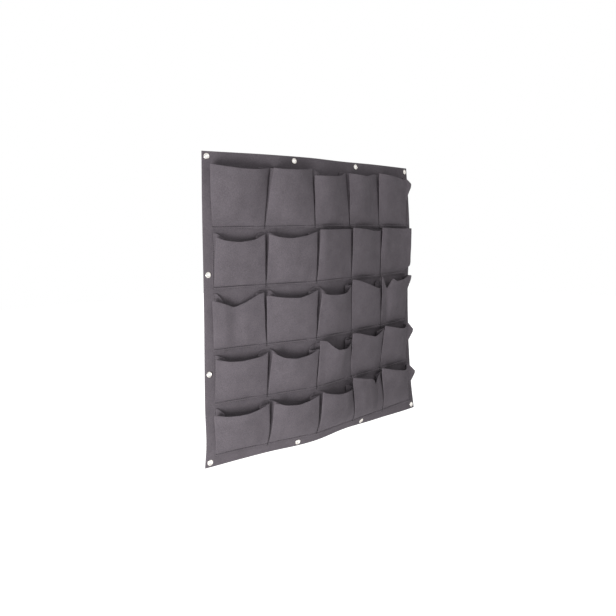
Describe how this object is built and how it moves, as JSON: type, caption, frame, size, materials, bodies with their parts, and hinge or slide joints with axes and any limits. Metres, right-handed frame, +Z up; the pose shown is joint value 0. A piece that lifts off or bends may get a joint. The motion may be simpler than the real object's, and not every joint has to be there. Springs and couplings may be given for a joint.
{
  "type": "wall grow bag",
  "caption": "Square felt wall panel with rows of sewn, gusseted planting pockets open at the top, hung by metal eyelets along its edges to grow plants on a wall.",
  "frame": {"origin": "On the wall plane behind the bag, at the middle of the panel's width and height.", "axes": "+X along the wall to the right as the viewer sees it, +Y into the wall, +Z up."},
  "size_m": [0.9908, 0.1165, 1],
  "materials": {
    "felt": "matt needle-punched felt, dark warm grey",
    "nickel": "bright nickel plate on pressed steel",
    "thread": "dark grey spun polyester thread"
  },
  "bodies": {
    "root": {"back_panel": "felt", "pocket_row1_col1": "felt", "pocket_row1_col2": "felt", "pocket_row1_col3": "felt", "pocket_row1_col4": "felt", "pocket_row1_col5": "felt", "pocket_row2_col1": "felt", "pocket_row2_col2": "felt", "pocket_row2_col3": "felt", "pocket_row2_col4": "felt", "pocket_row2_col5": "felt", "pocket_row3_col1": "felt", "pocket_row3_col2": "felt", "pocket_row3_col3": "felt", "pocket_row3_col4": "felt", "pocket_row3_col5": "felt", "pocket_row4_col1": "felt", "pocket_row4_col2": "felt", "pocket_row4_col3": "felt", "pocket_row4_col4": "felt", "pocket_row4_col5": "felt", "pocket_row5_col1": "felt", "pocket_row5_col2": "felt", "pocket_row5_col3": "felt", "pocket_row5_col4": "felt", "pocket_row5_col5": "felt", "eyelets": "nickel", "eyelet_washers": "nickel", "bottom_stitching": "thread", "side_stitching": "thread"}
  },
  "joints": []
}
